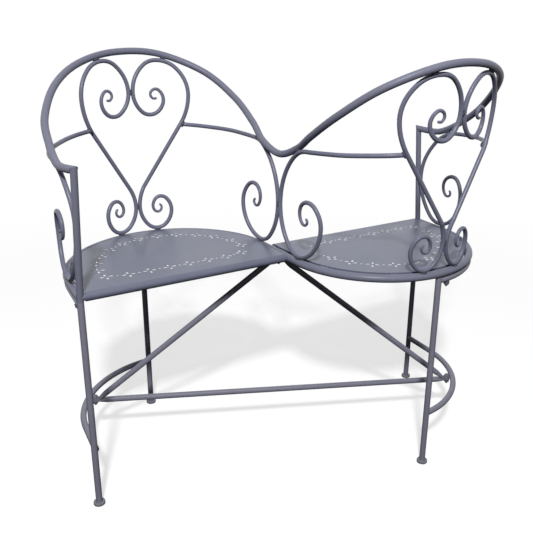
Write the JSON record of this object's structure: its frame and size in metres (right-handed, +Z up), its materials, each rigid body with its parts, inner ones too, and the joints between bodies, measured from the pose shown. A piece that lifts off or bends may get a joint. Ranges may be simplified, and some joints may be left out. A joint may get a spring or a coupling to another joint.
{
  "type": "bench",
  "caption": "garden love seat on an S plan: painted tube frame, pierced half-round seats that face opposite ways, heart scroll backs and a wavy top rail",
  "frame": {"origin": "middle of the S at floor level", "axes": "+X from the seat that faces -Y to the seat that faces +Y, +Z up"},
  "size_m": [0.8872, 0.6408, 0.8393],
  "materials": {
    "frame_coat": "satin",
    "panel_coat": "satin",
    "scroll_coat": "satin",
    "foot_cap": "matte",
    "fastener": "satin"
  },
  "bodies": {
    "root": {"top_rail": "frame_coat", "left_arm_post": "frame_coat", "right_arm_post": "frame_coat", "seat_rim": "frame_coat", "left_front_tube": "frame_coat", "right_front_tube": "frame_coat", "left_seat_panel": "panel_coat", "right_seat_panel": "panel_coat", "left_panel_tabs": "frame_coat", "right_panel_tabs": "frame_coat", "left_heart_inner_scroll": "scroll_coat", "left_heart_outer_scroll": "scroll_coat", "right_heart_inner_scroll": "scroll_coat", "right_heart_outer_scroll": "scroll_coat", "left_inner_bar_scroll": "scroll_coat", "left_outer_bar_scroll": "scroll_coat", "right_inner_bar_scroll": "scroll_coat", "right_outer_bar_scroll": "scroll_coat", "left_front_leg": "frame_coat", "left_back_leg": "frame_coat", "right_front_leg": "frame_coat", "right_back_leg": "frame_coat", "left_front_foot": "foot_cap", "left_back_foot": "foot_cap", "right_front_foot": "foot_cap", "right_back_foot": "foot_cap", "left_leg_arc": "frame_coat", "right_leg_arc": "frame_coat", "left_curved_stretcher": "frame_coat", "right_curved_stretcher": "frame_coat", "left_stretcher_tab": "frame_coat", "right_stretcher_tab": "frame_coat", "long_stretcher": "frame_coat", "left_brace": "frame_coat", "right_brace": "frame_coat", "frame_studs": "fastener", "frame_washers": "fastener", "frame_nuts": "fastener", "stretcher_bolts": "fastener", "stretcher_washers": "fastener", "stretcher_nuts": "fastener", "centre_stud": "fastener", "centre_washer": "fastener", "centre_nut": "fastener"}
  },
  "joints": []
}
